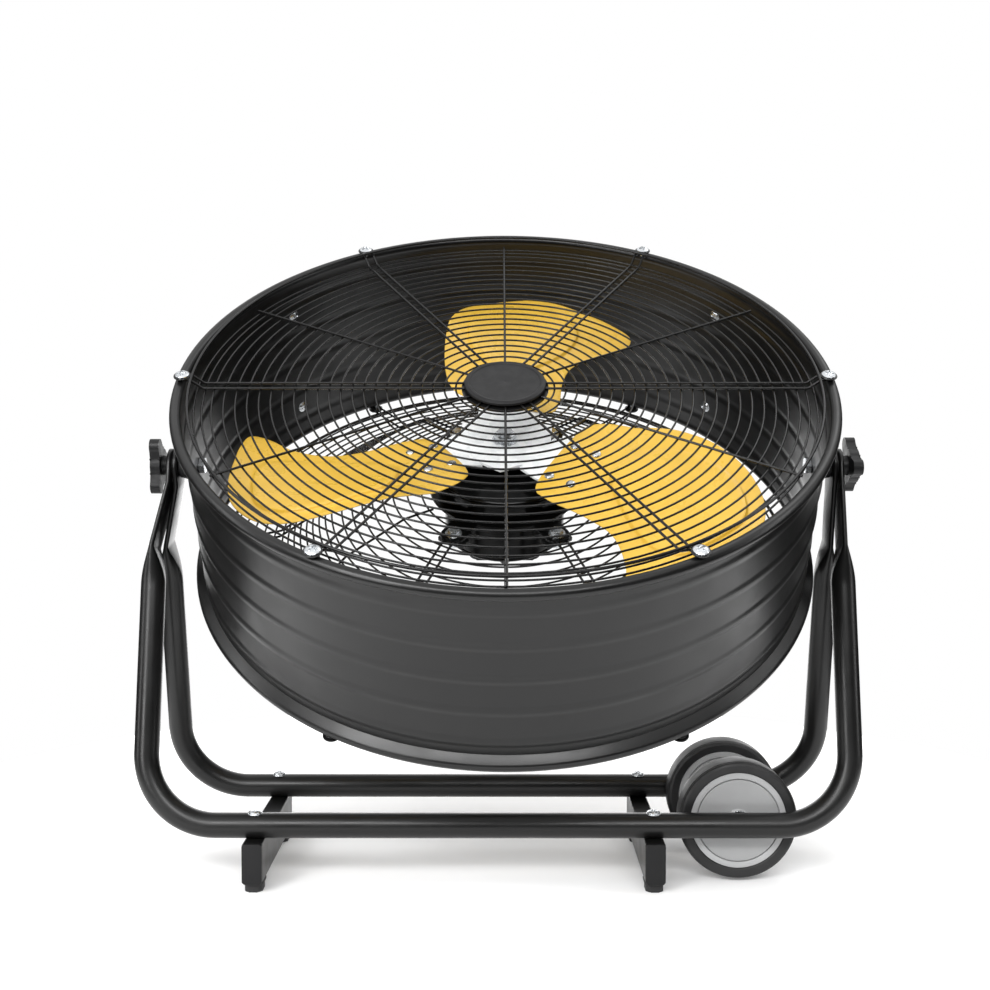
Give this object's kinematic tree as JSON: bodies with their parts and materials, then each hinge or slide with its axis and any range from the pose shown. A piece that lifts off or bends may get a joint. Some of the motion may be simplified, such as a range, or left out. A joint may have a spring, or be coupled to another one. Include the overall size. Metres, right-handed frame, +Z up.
{
  "type": "drum fan",
  "caption": "Tilting floor drum fan: a ribbed steel drum with wire guards and a bladed rotor, hung between bent tube frames on a wheeled stand.",
  "frame": {"origin": "on the floor, in the middle of the stand, straight under the tilt axis", "axes": "+Z up, -Y is the side that the front guard faces, +X towards the wheels along the tilt axis; the rest pose has the drum tipped back with its face 56.5 degrees above level"},
  "size_m": [0.7388, 0.6608, 0.6872],
  "materials": {
    "black_steel": "satin",
    "black_wire": "satin",
    "motor_black": "satin",
    "yellow_blade": "satin",
    "galvanised": "satin",
    "zinc": "gloss",
    "bare_steel": "satin",
    "iron": "matte",
    "black_plastic": "matte",
    "grey_plastic": "satin",
    "rubber": "matte",
    "tyre": "matte"
  },
  "bodies": {
    "stand": {"front_frame": "black_steel", "rear_frame": "black_steel", "crossbar_left": "black_steel", "crossbar_right": "black_steel", "crossbar_end_plugs": "black_plastic", "rubber_feet": "rubber", "frame_screws": "zinc", "frame_nuts": "zinc", "wheel_axle": "zinc", "axle_nut": "zinc", "axle_spacer": "black_plastic", "axle_washers": "zinc", "leg_washers": "black_plastic"},
    "wheel_front": {"wheel_rim_front": "grey_plastic", "tyre_front": "tyre"},
    "wheel_rear": {"wheel_rim_rear": "grey_plastic", "tyre_rear": "tyre"},
    "drum": {"drum_shell": "black_steel", "pivot_plate_left": "black_steel", "pivot_plate_right": "black_steel", "pivot_bush_left": "black_plastic", "pivot_bush_right": "black_plastic", "pivot_bolts": "zinc", "carry_handle_left": "black_steel", "carry_handle_right": "black_steel", "handle_screws": "zinc", "front_guard": "black_wire", "front_guard_washers": "black_steel", "front_guard_screws": "zinc", "front_badge": "black_plastic", "badge_clamp": "black_steel", "rear_guard": "black_wire", "rear_guard_washers": "black_steel", "rear_guard_screws": "zinc", "motor_housing": "motor_black", "motor_front_cover": "motor_black", "motor_rear_cover": "motor_black", "motor_stator": "iron", "motor_bracket": "motor_black", "bracket_washers": "zinc", "bracket_bolts": "zinc", "guard_clamps": "black_steel", "bracket_nuts": "zinc", "bearing_front": "zinc", "bearing_rear": "zinc", "switch_box": "black_plastic", "cable_gland": "black_plastic"},
    "fan": {"motor_rotor": "iron", "motor_shaft": "bare_steel", "hub_boss": "bare_steel", "hub_plate": "galvanised", "hub_nut": "zinc", "fan_blade_1": "yellow_blade", "fan_blade_2": "yellow_blade", "fan_blade_3": "yellow_blade", "blade_rivets": "zinc"},
    "tilt_knob_left": {"tilt_knob_left": "black_plastic"},
    "tilt_knob_right": {"tilt_knob_right": "black_plastic"},
    "speed_knob": {"speed_knob": "black_plastic"}
  },
  "joints": [
    {"name": "drum_tilt", "type": "hinge", "parent": "stand", "child": "drum", "pos_m": [0.007, 0, 0.42], "axis": [1, 0, 0], "range_deg": [-123.5, 71.5]},
    {"name": "fan_spin", "type": "hinge", "parent": "drum", "child": "fan", "pos_m": [0.007, 0, 0.42], "axis": [0, -0.5519, 0.8339], "continuous": true},
    {"name": "wheel_front_spin", "type": "hinge", "parent": "stand", "child": "wheel_front", "pos_m": [0.243, -0.0447, 0.0625], "axis": [0, 1, 0], "continuous": true},
    {"name": "wheel_rear_spin", "type": "hinge", "parent": "stand", "child": "wheel_rear", "pos_m": [0.243, 0.0447, 0.0625], "axis": [0, 1, 0], "continuous": true},
    {"name": "tilt_knob_left_turn", "type": "hinge", "parent": "drum", "child": "tilt_knob_left", "pos_m": [-0.3423, 0, 0.42], "axis": [-1, 0, 0], "range_deg": [0, 360]},
    {"name": "tilt_knob_right_turn", "type": "hinge", "parent": "drum", "child": "tilt_knob_right", "pos_m": [0.3563, 0, 0.42], "axis": [1, 0, 0], "range_deg": [0, 360]},
    {"name": "speed_knob_turn", "type": "hinge", "parent": "drum", "child": "speed_knob", "pos_m": [0.007, 0.05702, 0.33386], "axis": [0, 0.5519, -0.8339], "range_deg": [-135, 0]}
  ]
}
